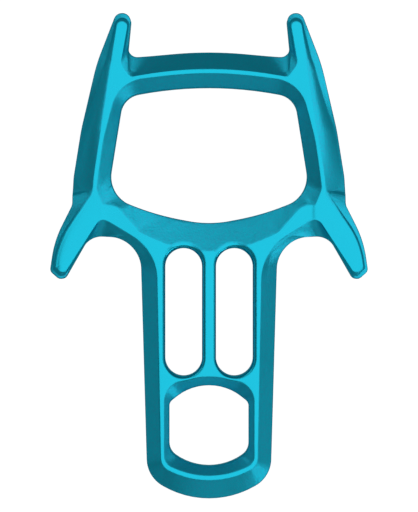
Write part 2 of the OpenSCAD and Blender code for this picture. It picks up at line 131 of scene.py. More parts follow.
class AnodisingLooks(bpy.types.PropertyGroup):
    """Colour and finish of the anodised aluminium."""

    metal: colour("Metal", "Colour of the anodised metal", (0.0125, 0.56, 0.755))
    # Deep metal: a darker, bluer colour. In specks and clouds it is grain and dye; mixed over the
    # blasted slopes as a whole, it is painted shade.
    deep_and_shade: colour("Deep metal", "Its colour where the layer is thicker", (0.026, 0.49, 0.71))
    edge: colour("Edge tint", "Tint of what is mirrored at a glance", (0.0, 0.92, 1.0))
    land_roughness: number("Land roughness", "Roughness of the smooth lands", 0.25, 1.0)
    slope_roughness: number("Slope roughness", "Roughness of the blasted slopes", 0.33, 1.0)
    grain: length("Grain", "Size of the blasted grain", 0.6)
    grain_depth: length("Grain depth", "Height of the blasted grain", 0.12)


class StudioSettings(bpy.types.PropertyGroup):
    """Camera, lamps and floor."""

    lens: FloatProperty(name="Lens", description="Focal length in millimetres", default=200.0)
    frame_h: length("Frame height", "Height of the picture at the object", 169.26)
    overhead: number("Overhead", "Radiance of the soft box above the object", 0.9)
    right: number("Right", "Radiance of the low box on the right", 0.35)
    corner: number("Corner", "Radiance of the low box beyond the eye's right corner", 1.9)
    front: number("Front", "Radiance of the box beyond the eye", 0.42)
    front_left: number("Front left", "Radiance of the box beyond the eye's left corner", 0.2)
    left: number("Left", "Radiance of the low box on the left", 0.4)
    far: number("Far", "Radiance of the box beyond the upper horns", 0.5)
    far_left: number("Far left", "Radiance of the box beyond the left upper horn", 0.75)
    far_right: number("Far right", "Radiance of the box beyond the right upper horn", 0.08)
    floor_colour: colour("Floor", "Colour of the floor under the lamps", (0.25, 0.25, 0.25))
    floor_glow: number("Floor glow", "What the white floor shows by itself", 0.97, 1.0)
    mirror_glow: number("Mirror glow", "How much of the white room the metal mirrors", 0.14, 1.0)


def unit(v):
    """Vectors of length 1 that point the same way."""
    return v / np.linalg.norm(v, axis=-1, keepdims=True)


def bow_corner(c, y, h, r, side):
    """Corner on the axis that makes a bow of half width c, height h and radius r when it is
    rounded: the sides run at the slope at which a tangent from (c, y) meets that circle."""
    r = min(r, 0.98 * (c * c + h * h) / (2 * h))
    slope = math.asin(r / math.hypot(c, r - h)) - math.atan2(r - h, c)
    return 0, y + side * c * math.tan(slope), r


def split_corner(a, b, c, n):
    """The n corners that replace corner b between a and c on the same rounding: tangents to
    its circle, spaced evenly over the turn."""
    p = np.array(b[:2])
    before, after = unit(p - a[:2]), unit(np.array(c[:2]) - p)
    turn = math.atan2(before[0] * after[1] - before[1] * after[0], before @ after)
    aside = np.array([-before[1], before[0]]) * np.sign(turn)
    centre = p - before * b[2] * math.tan(abs(turn) / 2) + aside * b[2]
    out = []
    for i in range(n):
        angle = turn * (i + 0.5) / n
        x, y = aside
        swung = np.array([x * math.cos(angle) - y * math.sin(angle),
                          x * math.sin(angle) + y * math.cos(angle)])
        q = centre - swung * b[2] / math.cos(turn / n / 2)
        out.append((q[0], q[1], b[2]))
    return out


def round_tip(right, left, centre, r):
    """Two corners of a tip that points up: where its flat top line crosses the two lines that
    run from the corners beside it and touch its circle."""
    top = centre[1] + r
    out = []
    for p, side in ((right, -1), (left, 1)):
        dx, dy = centre[0] - p[0], centre[1] - p[1]
        angle = math.atan2(dy, dx) + side * math.asin(r / math.hypot(dx, dy))
        out.append((p[0] + (top - p[1]) / math.tan(angle), top, r))
    return out


def both_sides(half):
    """A whole loop's rows from those of its right half, whose first and last lie on the axis."""
    half = np.array(half, float)
    return np.concatenate([half, half[-2:0:-1] * np.array([-1, 1, 1])])


# Steps of each rounded corner, and how far it reaches at least, in millimetres
STEPS = 12
LEAST_REACH = 0.4

# Each table gives places along a loop, by the numbers of its corners, and a value at each.
# How much of a flange the outline's slope has: 0 is one plain slope and 1 is a gentle flange
# with a high edge under a steep rib
FLANGE_AMOUNT = (
    (1.8, 0), (2.25, 0.8), (3.35, 0.8), (3.8, 0), (4.05, 0), (4.3, 0.9), (5, 1), (8.3, 1),
    (8.75, 0.7), (9.2, 0), (11.3, 0), (11.45, 0.5), (11.6, 0.8), (12.5, 0.8), (13, 1), (15, 1),
    (15.75, 0.6), (15.85, 0.6), (15.95, 0.9), (16.12, 0.9), (16.25, 0))

# The flange's width, as a share of the slope's run
FLANGE_WIDTH = (
    (1.8, 0.6), (2.25, 0.7), (3.2, 0.7), (4, 0.6), (5, 0.5), (6, 0.6), (7, 0.64), (8, 0.76),
    (9, 0.76), (9.5, 0.1), (11, 0.1), (11.3, 0.2), (11.45, 0.34), (11.55, 0.42), (11.75, 0.5),
    (12.5, 0.56), (13, 0.6), (14, 0.54), (15, 0.48), (15.8, 0.4), (15.95, 0.8), (16.1, 0.8))

# How far the slope bulges up to the land: 0 is straight and 1 is level at the land
BULGE = (
    (4.3, 0), (5, 0.3), (6, 0.95), (8, 0.95), (9.5, 0), (10, 0.15), (10.4, 0.3), (10.75, 0.75),
    (11.25, 0.9), (11.6, 0.9), (12.5, 0.8), (13, 0.85), (14, 0.85), (15, 0))

# How much the land's edge is crowned, along the land's line
CROWN = ((5.2, 0), (5.8, 1), (7, 1), (7.9, 0))

# How much of the web's high edge there is, along the ring, and how often it is evened out
WEB_AMOUNT = ((2.75, 1), (3.25, 0.65), (3.75, 0.55), (4.25, 0.3), (4.75, 0))
WEB_EVENING = 60

# Where rows of points lie. The first three are shares of a rounding's reach: from a thin edge,
# on both sides of the land's line, and on both sides of a knee
EDGE_ROWS = np.array([0, 0.04, 0.14, 0.32, 0.6, 1, 1.24])
LAND_ROWS = np.array([-1.4, -0.95, -0.45, 0, 0.42, 0.85])
KNEE_ROWS = np.array([-1.1, -0.5, 0, 0.5, 1.1])

# Shares of the way from the knee to the land, and of the slope into an opening
RIB_ROWS = np.array([0.22, 0.44, 0.66, 0.85])
OPENING_ROWS = np.array([0.12, 0.24, 0.36, 0.48, 0.6, 0.72, 0.83])

# Millimetres in from the land's line where it is crowned, with the share of them that a point
# has to keep, out from a slot's edge, and further out round its ends
CROWN_ROWS = (0.9, 1.3, 1.7, 2.1, 2.6, 3)
UNFOLDED = 0.9
SLOT_ROWS = (0, 0.02, 0.08, 0.18, 0.32, 0.5, 0.72, 0.97, 1.24, 1.5)
SLOT_END_ROWS = (1.65, 1.8, 1.95, 2.1, 2.25, 2.4, 2.6)

# Shares of the half thickness down the walls, and how smooth the walls are
WALL_ROWS = (0.8, 0.4, 0, -0.4, -0.8)
WALL_SMOOTHNESS = 0.5

# Places of the free points at each fork, across the seam and along it
SEAM_ACROSS = np.linspace(-1.2, 1.2, 13)
SEAM_ALONG = np.arange(-14, 5, 0.4)

# Distance between points round the slots and the eye, as shares of that elsewhere
SLOT_SPACING = 0.75
EYE_SPACING = 0.8

# Roundings shrink where a slope's run is shorter than the first, and no run into an opening is
# taken as shorter than the second
LONG_RUN = 2.2
LEAST_RUN = 0.5

# How much higher than wide the round of a thin edge is
EDGE_FALL = 1.2

# A knee stays this far from the thin edge's round, and this far from the land's
KNEE_FROM_EDGE = 0.55
KNEE_FROM_LAND = 0.03

# A slope's crest blends into the land over this height, and over more where it is crowned
LAND_BLEND = 0.06
CROWN_BLEND = 0.3

# Distances from the axis between which the lands begin to dip, and how far above a lower
# horn's foot its crown can reach
DIP_FROM = 20
DIP_TO = 32
CROWN_OVER_FOOT = 8

# The metal turns from blasted to smooth between these distances past the land's line, and
# within this drop below the land
SMOOTH_FROM = -0.21
SMOOTH_TO = 0.09
SMOOTH_DROP = 0.1

# Free points stay this far from the slots, from the outline's strip, from the other strips and
# from the axis, and this share of the run from an opening's strip
SLOT_GUARD = 2.9
OUTLINE_GUARD = 0.07
OPENING_GUARD = 0.06
AXIS_GUARD = 0.04
RUN_GUARD = 0.05

# Shares of the run between which a slope into an opening goes over to heights not evened out
RAW_FROM = 0.35
RAW_TO = 0.8


def along(table, at):
    """A table's values at places along a loop."""
    return np.interp(at, *zip(*table))


def rail(half):
    """Points of a closed outline from its corners (x, y, radius): each corner becomes a
    circular arc, written as a rational quadratic, that starts one reach before it and ends one
    reach after it; neighbours share the side between them where it is too short."""
    corners = both_sides(half)
    p, radius = corners[:, :2], corners[:, 2]
    side = np.roll(p, -1, 0) - p
    way = unit(side)
    back = np.roll(way, 1, 0)
    half_turn = np.arccos(np.clip((way * back).sum(1), -1, 1)) / 2
    want = np.maximum(radius * np.tan(half_turn), LEAST_REACH)
    room = 0.98 * np.linalg.norm(side, axis=1) / (want + np.roll(want, -1))
    reach = want * np.minimum(1, np.minimum(room, np.roll(room, 1)))
    s = np.linspace(0, 1, STEPS + 1)[None, :, None]
    ka, kb, kc = (1 - s) ** 2, 2 * np.cos(half_turn)[:, None, None] * s * (1 - s), s ** 2
    a, c = p - back * reach[:, None], p + way * reach[:, None]
    points = (a[:, None] * ka + p[:, None] * kb + c[:, None] * kc) / (ka + kb + kc)
    return points.reshape(-1, 2)


def places(half):
    """Place of each point of a rail: the number of its corner, from the first on the axis, less
    a quarter where its rounding begins and more a quarter where it ends."""
    n = len(half)
    swing = (np.linspace(0, 1, STEPS + 1) - 0.5) / 2
    right = np.arange(n)[:, None] + swing
    left = np.arange(n - 2, 0, -1)[:, None] - swing
    return np.concatenate([right.ravel(), left.ravel()])


def millimetres(group):
    """The group's lengths as plain numbers in millimetres, its counts, and its angles'
    tangents."""
    sizes = {name: getattr(group, name) / MM for name in group.__annotations__}
    for name in ("evening", "ring_evening", "eye_evening"):
        sizes[name] = getattr(group, name)
    for name in ("draft", "flange_draft", "web_draft"):
        sizes["tan_" + name] = math.tan(getattr(group, name))
    return SimpleNamespace(**sizes)


def forging_shape(sizes):
    """The sizes together with the loops that shape the forging, in millimetres, X across it and
    Y up from the shank's end: outline and land line, ring and eye with theirs, and the slots'
    centres. Each corner is (x, y, radius of its rounding)."""
    half_t, half_edge = sizes.thickness / 2, sizes.edge_t / 2
    slot_r = sizes.slot_w / 2
    slot_x = sizes.slot_bar / 2 + slot_r
    slot_out_x = slot_x + slot_r
    end_flank, end_land, eye_low_run = 6.4, 1.3, 3.3
    eye_low_y = end_flank + end_land + eye_low_run
    eye_top_y = eye_low_y + sizes.eye_h
    slot_low_y = eye_top_y + sizes.neck_h
    slot_top_y = slot_low_y + sizes.slot_l
    ring_low_y = slot_top_y + sizes.web_h
    ring_top_y = ring_low_y + sizes.ring_h
    bar_inner_run, bar_land, bar_outer_run = 4.7, 1.2, 5.9
    bar_top_y = ring_top_y + bar_inner_run + bar_land + bar_outer_run
    horn_top_y = bar_top_y + 12.8
    eye_crest_in_x = sizes.eye_w / 2 + 1.8
    eye_crest_x = eye_crest_in_x + 0.9
    end_x = eye_crest_x + 4.6
    shank_crest_x = slot_out_x + sizes.slot_round + sizes.slot_land
    shank_x = shank_crest_x + 5.5

    ring_top = (sizes.ring_top_w / 2, ring_top_y - 3, 7.6)
    low_bow = 9.1
    ring_low = (sizes.ring_low_w / 2, ring_low_y + low_bow, 10)

    def ring_side(y):
        rise = y - ring_low[1]
        return ring_low[0] + (ring_top[0] - ring_low[0]) * rise / (ring_top[1] - ring_low[1])

    def arm_crest_in(y):
        return ring_side(y) + 4.4

    def arm_crest_out(y):
        return arm_crest_in(y) + 0.9

    def arm_outline(y):
        return arm_crest_out(y) + 6.9

    notch_y = slot_top_y + 3.2
    tip_y = notch_y - 14.5
    spread_x = sizes.spread_w / 2
    foot_y = tip_y + 25.5
    foot_end_y = foot_y + 7.3
    arm_low_y = foot_y + 9.2
    arm_mid_y = foot_y + 21.2
    arm_high_y = foot_y + 25.1
    foot_x = arm_outline(foot_end_y)
    end_corner = (end_x, 7, 10.4)
    notch_corner = (shank_x, notch_y, 10.8)
    notch_end_x = 39.4
    notch_horn = (notch_end_x, notch_y + 0.8, 6.8)
    shoulder = (sizes.shoulder_w / 2, bar_top_y - 3.8, 60)
    root = (26.9, bar_top_y - 1.9, 3.8)
    horn_r = 2.85
    horn = round_tip(shoulder, root, (sizes.horn_span / 2, horn_top_y - horn_r), horn_r)
    pocket_share = 0.26
    outline = [
        bow_corner(end_x, 7, 7, 30.6, -1),
        end_corner,
        *split_corner(end_corner, notch_corner, notch_horn, 2),
        notch_horn,
        (spread_x - 4.2, tip_y, 2),
        (spread_x, tip_y + 3.7, 2),
        (spread_x - 1.5, tip_y + 13.8, 35),
        (foot_x, foot_y, 4),
        (foot_x, foot_y + 3.6, 1),
        (arm_outline(arm_low_y), arm_low_y, 20),
        (arm_outline(arm_high_y), arm_high_y, 60),
        shoulder,
        horn[0],
        horn[1],
        (mix(root[0], horn[1][0], pocket_share), mix(root[1], horn[1][1], pocket_share), 1),
        root,
        bow_corner(root[0], root[1], 1.9, 130, 1),
    ]

    end_crest = (eye_crest_x, end_flank + 4.4, 4.6)
    notch_crest = (shank_crest_x, notch_y - 4, 18)
    fork = (notch_end_x - 4.1, notch_y + 7.4, 3)
    shoulder_crest = (shoulder[0] - 5, shoulder[1], 60)
    pocket = (root[0] + 2.3, root[1] - 2.4, 3)
    pocket_end = (root[0] - 0.9, root[1] - 6.6, 1.5)
    rib = round_tip(shoulder_crest, pocket, (sizes.horn_span / 2 + 0.1, horn_top_y - 4.9), 1.7)
    crest = [
        bow_corner(end_crest[0], end_crest[1], 4.4, 29, -1),
        end_crest,
        *split_corner(end_crest, notch_crest, fork, 2),
        fork,
        (spread_x - 4.5, tip_y + 2.4, 1.5),
        (spread_x - 2, tip_y + 5.2, 1.5),
        (spread_x - 2.8, tip_y + 12.8, 35),
        (arm_crest_out(foot_end_y), foot_y + 3.6, 3),
        (arm_crest_out(foot_end_y), foot_y + 5.2, 1),
        (arm_crest_out(arm_low_y), arm_low_y, 20),
        (arm_crest_out(arm_high_y), arm_high_y, 60),
        shoulder_crest,
        rib[0],
        rib[1],
        pocket,
        pocket_end,
        bow_corner(pocket_end[0], pocket_end[1], bar_top_y - bar_outer_run - pocket_end[1], 130, 1),
    ]
    place = places(outline)
    flange = np.stack([along(table, place) for table in (FLANGE_WIDTH, FLANGE_AMOUNT, BULGE)], 1)

    bend = (0.52 * ring_low[0], ring_low_y + 0.3 * low_bow, 85)
    ring = [
        (0, ring_low_y - 0.06 * low_bow, 37),
        bend,
        *split_corner(bend, ring_low, ring_top, 3),
        (ring_side(arm_mid_y), arm_mid_y, 1),
        ring_top,
        bow_corner(ring_top[0], ring_top[1], 3, 172, 1),
    ]
    web_end = (slot_out_x + 8.5, slot_top_y + 5, 5)
    bar_crest_bow = 2.7
    bar_crest = (ring_top[0] + 1.6, ring_top_y + bar_inner_run - bar_crest_bow, 12)
    ring_crest = [
        bow_corner(web_end[0], web_end[1], 6.2, 42.6, -1),
        web_end,
        (fork[0] - 4.4, fork[1] + 2.3, 5),
        (fork[0] - 0.5, fork[1] + 2.8, 3),
        (arm_crest_in(foot_end_y), foot_y + 5.3, 5),
        (arm_crest_in(arm_mid_y), arm_mid_y, 60),
        bar_crest,
        bow_corner(bar_crest[0], bar_crest[1], bar_crest_bow, 125, 1),
    ]
    eye_low = (sizes.eye_w / 2, eye_low_y + 4.8, 5)
    eye_top = (sizes.eye_w / 2, eye_top_y - 5.6, 3)
    eye = [bow_corner(eye_low[0], eye_low[1], 4.8, 21.8, -1), eye_low, eye_top,
           bow_corner(eye_top[0], eye_top[1], 5.6, 17, 1)]
    eye_top_run, low_crest_bow, top_crest_bow = 3, 4, 2.8
    low_y = eye_low_y - eye_low_run + low_crest_bow
    top_y = eye_top_y + eye_top_run - top_crest_bow
    eye_crest = [bow_corner(eye_crest_in_x, low_y, low_crest_bow, 28, -1),
                 (eye_crest_in_x, low_y, 4), (eye_crest_in_x, top_y, 7),
                 bow_corner(eye_crest_in_x, top_y, top_crest_bow, 30, 1)]
    web_edge = evened(along(WEB_AMOUNT, places(ring)), WEB_EVENING)
    eye_rail = rail(eye)
    return SimpleNamespace(
        **vars(sizes), outline=rail(outline), crest=rail(crest), flange=flange,
        crown=along(CROWN, places(crest)),
        ring=SimpleNamespace(edge=rail(ring), crest=rail(ring_crest), held=web_edge,
                             spacing=sizes.spacing, evening=sizes.ring_evening),
        eye=SimpleNamespace(edge=eye_rail, crest=rail(eye_crest), held=np.zeros(len(eye_rail)),
                            spacing=sizes.spacing * EYE_SPACING, evening=sizes.eye_evening),
        slot_r=slot_r, slot_x=slot_x, slot_low=slot_low_y + slot_r, slot_top=slot_top_y - slot_r,
        half_t=half_t, half_edge=half_edge, height=horn_top_y, fork=fork, foot_y=foot_y,
        seam_x=fork[0] - 0.9)


def walk(spacing, *loops):
    """The same loops with points about one spacing apart, kept in step: the place along them
    grows with the longer of the first two at each point, and all are read at even places."""
    steps = [np.linalg.norm(np.roll(loop, -1, 0) - loop, axis=1) for loop in loops[:2]]
    place = np.concatenate([[0], np.cumsum(np.maximum(np.max(steps, axis=0), spacing / 2))])
    count = 2 * int(round(place[-1] / spacing / 2))
    at = np.linspace(0, place[-1], count, endpoint=False)
    return [np.stack([np.interp(at, place, np.append(column, column[0])) for column in loop.T], 1)
            for loop in loops]


# How many points are measured against a loop at once
CHUNK = 4000


def nearest(points, loop, value):
    """Distance from each point to a closed loop, which is the least over its sides of the
    distance to the nearest point of that side, and the loop's value at that point."""
    ab = np.roll(loop, -1, 0) - loop
    change = np.roll(value, -1) - value
    away, found = np.empty(len(points)), np.empty(len(points))
    for i in range(0, len(points), CHUNK):
        ap = points[i:i + CHUNK, None] - loop[None]
        t = np.clip((ap * ab).sum(2) / np.maximum((ab * ab).sum(1), 1e-12), 0, 1)
        square = ((ap - t[..., None] * ab) ** 2).sum(2)
        best = square.argmin(1)
        row = np.arange(len(best))
        away[i:i + CHUNK] = np.sqrt(square[row, best])
        found[i:i + CHUNK] = value[best] + t[row, best] * change[best]
    return away, found


def distance(points, loop):
    """Distance from each point to a closed loop."""
    return nearest(points, loop, np.zeros(len(loop)))[0]


def inside(points, loop):
    """True for each point inside a closed loop: a ray from it crosses an odd number of sides."""
    a, b = loop, np.roll(loop, -1, 0)
    out = np.empty(len(points), bool)
    for i in range(0, len(points), CHUNK):
        x, y = points[i:i + CHUNK, 0, None], points[i:i + CHUNK, 1, None]
        spans = (a[:, 1] > y) != (b[:, 1] > y)
        rise = np.where(a[:, 1] == b[:, 1], 1, b[:, 1] - a[:, 1])
        crossing = a[:, 0] + (y - a[:, 1]) * (b[:, 0] - a[:, 0]) / rise
        out[i:i + CHUNK] = (spans & (x < crossing)).sum(1) % 2
    return out


def inward(loop):
    """Unit vectors that point into a loop that runs anticlockwise."""
    ahead = unit(np.roll(loop, -1, 0) - np.roll(loop, 1, 0))
    return np.stack([-ahead[:, 1], ahead[:, 0]], 1)


def rows_between(edge, crest, share, into):
    """Rows of points from an edge to the land's line by their share of the run, and straight
    on across the land where the share is more than 1."""
    run = np.linalg.norm(crest - edge, axis=1)
    past = np.maximum(share - 1, 0) * run
    return edge + (crest - edge) * np.minimum(share, 1)[..., None] + into * past[..., None]


def soft_max(a, b, k):
    """The larger of a and b, with k as the difference over which they blend in a parabola."""
    k = np.maximum(k, 1e-6)
    return np.maximum(a, b) + np.maximum(k - np.abs(a - b), 0) ** 2 / (4 * k)


def soft_min(a, b, k):
    """The smaller of a and b, blended in the same way."""
    return -soft_max(-a, -b, k)


def ramp(value, start, end):
    """A smooth step from 0 where the value is at its start to 1 where it is at its end."""
    t = np.clip((value - start) / (end - start), 0, 1)
    return t * t * (3 - 2 * t)


def fitting(run):
    """How much of a rounding fits on a slope: all of it, or less where its run is short."""
    return np.minimum(1, run / LONG_RUN)


def quarter(gap, radius):
    """Drop of a quarter round at a gap from its lower edge."""
    return radius * (1 - np.sqrt(1 - np.clip(1 - gap / radius, 0, 1) ** 2))


def mix(a, b, share):
    """The value that lies at a share of the way from a to b."""
    return a + (b - a) * share


def evened(rows, times):
    """Rows that follow a closed loop, each value averaged with its neighbours a number of times."""
    for _ in range(times):
        rows = (np.roll(rows, 1, -1) + 2 * rows + np.roll(rows, -1, -1)) / 4
    return rows


def edge_height(run, drop, held, shape):
    """Height of a slope's edge: its run times the draft below the land, and no lower than the
    thin edge allows, or the given drop below the land where the edge is held high."""
    plain = np.maximum(shape.half_edge, shape.half_t - run * shape.tan_draft)
    return mix(plain, shape.half_t - drop, held)


def slope_height(share, run, edge_z, knee, knee_z, bulge, rounding, shape, land):
    """Height over the middle plane of a slope, from the share of its run: a straight part, a
    knee with a fillet, a part that bulges up as a parabola, and a rounded edge to the land;
    and a quarter round at the outer edge."""
    gentle = (knee_z - edge_z) / knee
    steep = (shape.half_t - knee_z) / (1 - knee)
    fit = fitting(run)
    down = (1 - share) / (1 - knee)
    drop = (shape.half_t - knee_z) * down * (1 + bulge * (np.maximum(down, 0) - 1))
    fillet = shape.rib_fillet * fit * np.abs(steep * (1 + bulge) - gentle) / run
    z = soft_max(edge_z + gentle * share, shape.half_t - drop, fillet)
    z = soft_min(z, land, rounding * (1 - bulge) * fit * steep / run)
    return z - EDGE_FALL * quarter(share * run, shape.edge_round * fit)


def outer_height(share, run, flange, shape, land):
    """Height of the slope round the outside: a plain one, or a gentle flange under a steep
    rib, or a mixture of both, by the amount of flange."""
    knee, amount, bulge = flange
    edge_z = edge_height(run, shape.flange_drop, amount, shape)
    highest_knee = shape.half_t - 0.2 * shape.flange_drop
    flange_z = np.minimum(edge_z + knee * run * shape.tan_flange_draft, highest_knee)
    knee_z = mix(mix(edge_z, shape.half_t, knee), flange_z, amount)
    rounding = mix(shape.land_round, shape.rib_round, amount)
    return slope_height(share, run, edge_z, knee, knee_z, bulge, rounding, shape, land)


def land_height(points, shape):
    """Height of the lands: level, but a little lower on the bars that run from the forks of
    the lower horns to the shank, with a short ramp at the fork and a long one at the shank,
    and crowned along the outer edges of the lower horns."""
    x, y = np.abs(points[..., 0]), points[..., 1]
    fork_x, fork_y = shape.fork[:2]
    dip = (ramp(x, shape.seam_x + 1, shape.seam_x - 1) * ramp(x, DIP_FROM, DIP_TO)
           * ramp(y, fork_y + 5, fork_y + 4))
    z = shape.half_t - shape.seam_drop * dip * (y > shape.slot_top)
    horn = (x > fork_x) & (y < shape.foot_y + CROWN_OVER_FOOT)
    from_edge, crown = nearest(points[horn], shape.crest, shape.crown)
    from_edge = np.where(inside(points[horn], shape.crest), from_edge, -from_edge)
    z[horn] -= shape.crown_drop * crown * np.maximum(1 - from_edge / shape.crown_reach, 0) ** 2
    return z


def opening_height(points, opening, shape, land):
    """Height of the slope into an opening. Its share of the run is the distance to the edge
    over the sum of the distances to the edge and to the land's line. It is straight, so its
    knee can lie anywhere."""
    from_edge, high_edge = nearest(points, opening.edge, opening.held)
    from_crest = np.where(inside(points, opening.crest), -1, 1) * distance(points, opening.crest)
    run = np.maximum(from_edge - from_crest, LEAST_RUN)
    edge_z = edge_height(run, run * shape.tan_web_draft, high_edge, shape)
    knee = 0.5
    return slope_height(from_edge / run, run, edge_z, knee, mix(edge_z, shape.half_t, knee),
                        0, shape.land_round, shape, land)


def slot_loop(shape, x, gap, spacing):
    """A slot's outline moved out by a gap: two half circles joined by straight sides, with
    points at the same angles and heights for every gap."""
    arc = np.linspace(-90, 90, 2 * int(round(math.pi * shape.slot_r / spacing / 2)) + 1)
    arc = np.radians(arc)
    rise = np.linspace(0, 1, int((shape.slot_top - shape.slot_low) / spacing) + 1)[1:-1]
    radius = shape.slot_r + gap
    right = np.stack([np.full(len(rise), radius), mix(shape.slot_low, shape.slot_top, rise)], 1)
    top = np.stack([radius * np.sin(arc[::-1]), shape.slot_top + radius * np.cos(arc[::-1])], 1)
    low_arc = np.stack([radius * np.sin(arc), shape.slot_low - radius * np.cos(arc)], 1)
    loop = np.concatenate([low_arc, right, top, right[::-1] * [-1, 1]])
    return loop + [x, 0]


def slot_distance(points, shape):
    """Distance outside the nearer slot's edge: that to its middle line, less its radius."""
    x = np.abs(np.abs(points[..., 0]) - shape.slot_x)
    y = points[..., 1] - np.clip(points[..., 1], shape.slot_low, shape.slot_top)
    return np.hypot(x, y) - shape.slot_r


def face_height(points, shape):
    """Height of the face away from the outline's slope: the lowest of the land and the slopes
    into the ring and the eye, rounded off at the slots' edges."""
    land = land_height(points, shape)
    z = np.minimum(opening_height(points, shape.ring, shape, land),
                   opening_height(points, shape.eye, shape, land))
    gap = slot_distance(points, shape)
    rise = np.clip((points[:, 1] - shape.slot_top) / shape.slot_r, 0, 1)
    return z - quarter(np.maximum(gap, 0), mix(shape.slot_round, shape.top_round, rise))


def turned_up(p, faces):
    """The faces, with the places p of their corners, in the order that makes the whole strip
    face up: a single one may stand upright, so that its own area can't tell."""
    q = np.roll(p, -1, 1)
    area = (p[..., 0] * q[..., 1] - p[..., 1] * q[..., 0]).sum()
    return faces if area > 0 else faces[:, ::-1]


class Face:
    """Collects the upper face: points (x, y, z), how smooth the metal is at each, strips of
    quads, the edges of the face, and the rims up to which triangles fill it. The first strip
    lies outside the triangles and the others lie inside."""

    def __init__(self):
        self.points = np.empty((0, 3))
        self.smoothness = np.empty(0)
        self.quads, self.edges, self.rims = [], [], []

    def add_points(self, xy, z, smoothness):
        """Adds points and returns their numbers."""
        start = len(self.points)
        self.points = np.concatenate([self.points, np.column_stack([xy, z])])
        self.smoothness = np.append(self.smoothness, smoothness)
        return np.arange(start, len(self.points))

    def add_strip(self, xy, z, smoothness):
        """Adds rows of points that follow a loop, joined by quads: the first row is an edge of
        the face and the last is a rim."""
        level = np.broadcast_to(smoothness, z.shape)
        index = self.add_points(xy.reshape(-1, 2), z.ravel(), level.ravel()).reshape(z.shape)
        ahead = np.roll(index, -1, 1)
        strip = np.stack([index[:-1], ahead[:-1], ahead[1:], index[1:]], 2).reshape(-1, 4)
        self.quads.append(turned_up(self.points[strip, :2], strip))
        self.edges.append(index[0])
        self.rims.append(index[-1])

    def within(self, xy):
        """True for each place inside the first rim and outside the others."""
        outer, *others = [self.points[rim, :2] for rim in self.rims]
        return inside(xy, outer) & ~np.any([inside(xy, loop) for loop in others], axis=0)

    def clear(self, xy):
        """True for each place that isn't too near a rim."""
        guards = [OUTLINE_GUARD] + [OPENING_GUARD] * (len(self.rims) - 1)
        return np.all([distance(xy, self.points[rim, :2]) > guard
                       for rim, guard in zip(self.rims, guards)], axis=0)

    def triangles(self, free):
        """Triangles between the rims, through the free points of the given numbers."""
        sides = np.concatenate([np.stack([rim, np.roll(rim, -1)], 1) for rim in self.rims])
        used = np.concatenate([*self.rims, free])
        place = np.full(len(self.points), -1)
        place[used] = np.arange(len(used))
        _, _, faces, origin, _, _ = delaunay_2d_cdt(
            [Vector(p) for p in self.points[used, :2].tolist()], place[sides].tolist(), [], 0, 1e-7)
        back = used[np.array([o[0] for o in origin])]
        tris = back[np.array(faces)]
        tris = tris[self.within(self.points[tris, :2].mean(1))]
        return turned_up(self.points[tris, :2], tris)


def add_outer_slope(face, shape):
    """Adds the strip that follows the outline's slope, and returns rows of free points on the
    crowned lands inside it."""
    edge, crest, flange, crown = walk(
        shape.spacing, shape.outline, shape.crest, shape.flange, shape.crown[:, None])
    crown = crown[:, 0]
    flange = evened(flange.T, shape.evening)
    run = np.linalg.norm(crest - edge, axis=1)
    fit = fitting(run)
    rounding = mix(shape.land_round, shape.rib_round, flange[1])
    knee_rows = KNEE_ROWS * shape.rib_fillet
    knee = np.clip(flange[0], (KNEE_FROM_EDGE + knee_rows[-1]) * fit / run, 1)
    last = 1 + LAND_ROWS[0] * rounding * fit / run
    knee = np.minimum(knee, last - (knee_rows[-1] + KNEE_FROM_LAND) * fit / run)
    share = np.concatenate([
        EDGE_ROWS[:, None] * shape.edge_round * fit / run,
        knee + knee_rows[:, None] * fit / run,
        mix(knee + knee_rows[-1] * fit / run, last, RIB_ROWS[:, None]),
        1 + LAND_ROWS[:, None] * rounding * fit / run])
    height = outer_height(share, run, flange, shape, shape.half_t)
    share, height = evened(share, shape.evening), evened(height, shape.evening)
    xy = rows_between(edge, crest, share, inward(crest))
    z = soft_min(height, land_height(xy, shape), LAND_BLEND + CROWN_BLEND * crown)
    face.add_strip(xy, z, ramp((share - 1) * run, SMOOTH_FROM, SMOOTH_TO))

    free = []
    for reach in CROWN_ROWS:
        row = crest + inward(crest) * reach
        free.append(row[(distance(row, shape.crest) > UNFOLDED * reach) & (crown > 0)])
    return free


def opening_rows(xy, share, opening, shape):
    """Heights of rows of points on the slope into an opening, evened out along it except near
    the land."""
    points = xy.reshape(-1, 2)
    land = land_height(points, shape)
    z = opening_height(points, opening, shape, land).reshape(xy.shape[:2])
    return mix(evened(z, opening.evening), z, ramp(share, RAW_FROM, RAW_TO))


def add_opening(face, opening, shape):
    """Adds the strip along the thin edge of an opening. Returns the points on its slope, with
    their heights, and the free points at its land's line."""
    edge, crest = walk(opening.spacing, opening.edge, opening.crest)
    outward = -inward(crest)
    run = np.linalg.norm(crest - edge, axis=1)
    fit = fitting(run)
    edge_share = EDGE_ROWS[:, None] * shape.edge_round * fit / run
    xy = rows_between(edge, crest, edge_share, outward)
    face.add_strip(xy, opening_rows(xy, 0, opening, shape), 0)

    share = np.tile(OPENING_ROWS[:, None], len(run))
    rows = rows_between(edge, crest, share, outward)
    keep = (slot_distance(rows, shape) > SLOT_GUARD) & (share > edge_share[-1] + RUN_GUARD)
    known = np.dstack([rows, opening_rows(rows, share, opening, shape)])[keep]

    share = 1 + LAND_ROWS[:, None] * shape.land_round * fit / run
    rows = rows_between(edge, crest, share, outward)
    return known, rows[slot_distance(rows, shape) > SLOT_GUARD]


